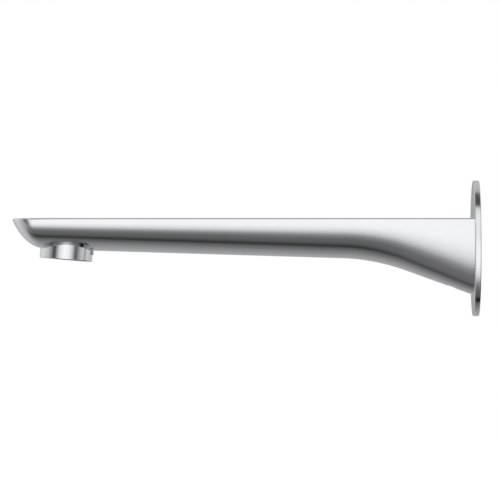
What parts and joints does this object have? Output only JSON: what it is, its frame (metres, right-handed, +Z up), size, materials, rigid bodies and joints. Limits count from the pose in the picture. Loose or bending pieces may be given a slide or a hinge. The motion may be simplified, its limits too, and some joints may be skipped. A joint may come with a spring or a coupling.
{
  "type": "bath spout",
  "caption": "Wall mounted bath spout: flat-topped arm with a rounded belly and flared base, round wall rosette, threaded inlet adapter and a hidden screw-in aerator.",
  "frame": {"origin": "on the axis of the inlet thread, at the finished wall (the rosette's back face)", "axes": "+Y into the wall along the inlet thread, so the spout projects along -Y; +Z up; +X across"},
  "size_m": [0.065, 0.2234, 0.065],
  "materials": {
    "chrome": "polished chrome plate",
    "shell_chrome": "satin chrome plate",
    "brass": "turned",
    "steel": "stainless",
    "rubber": "matt",
    "fibre": "pressed fibre",
    "white_plastic": "moulded",
    "grey_plastic": "moulded"
  },
  "bodies": {
    "spout": {"spout_body": "chrome", "rosette": "chrome", "rosette_gasket": "rubber", "rosette_grip_ring": "rubber", "base_seal": "rubber", "inlet_adapter": "brass", "inlet_washer": "fibre", "adapter_o_ring_front": "rubber", "adapter_o_ring_rear": "rubber"},
    "set_screw": {"grub_screw": "steel"},
    "seal_ring": {"aerator_seal": "rubber"},
    "aerator": {"aerator_shell": "shell_chrome", "jet_housing": "white_plastic", "strainer_dome": "grey_plastic", "jet_plate": "grey_plastic", "mixing_ring": "white_plastic", "screen_upper": "steel", "screen_spacer": "white_plastic", "screen_lower": "steel", "outlet_grid": "grey_plastic"}
  },
  "joints": [
    {"name": "set_screw_out", "type": "slide", "parent": "spout", "child": "set_screw", "axis": [0, 0, -1], "range_m": [0, 0.008]},
    {"name": "aerator_drop", "type": "slide", "parent": "spout", "child": "seal_ring", "axis": [0, -0.0872, -0.9962], "range_m": [0, 0.00501]},
    {"name": "aerator_turn", "type": "hinge", "parent": "seal_ring", "child": "aerator", "pos_m": [0, -0.198, -0.0055], "axis": [0, -0.0872, -0.9962], "range_deg": [0, 1800]}
  ],
  "couplings": [
    {"joint": "aerator_drop", "follows": "aerator_turn", "m_per_rad": 0.00015915}
  ]
}
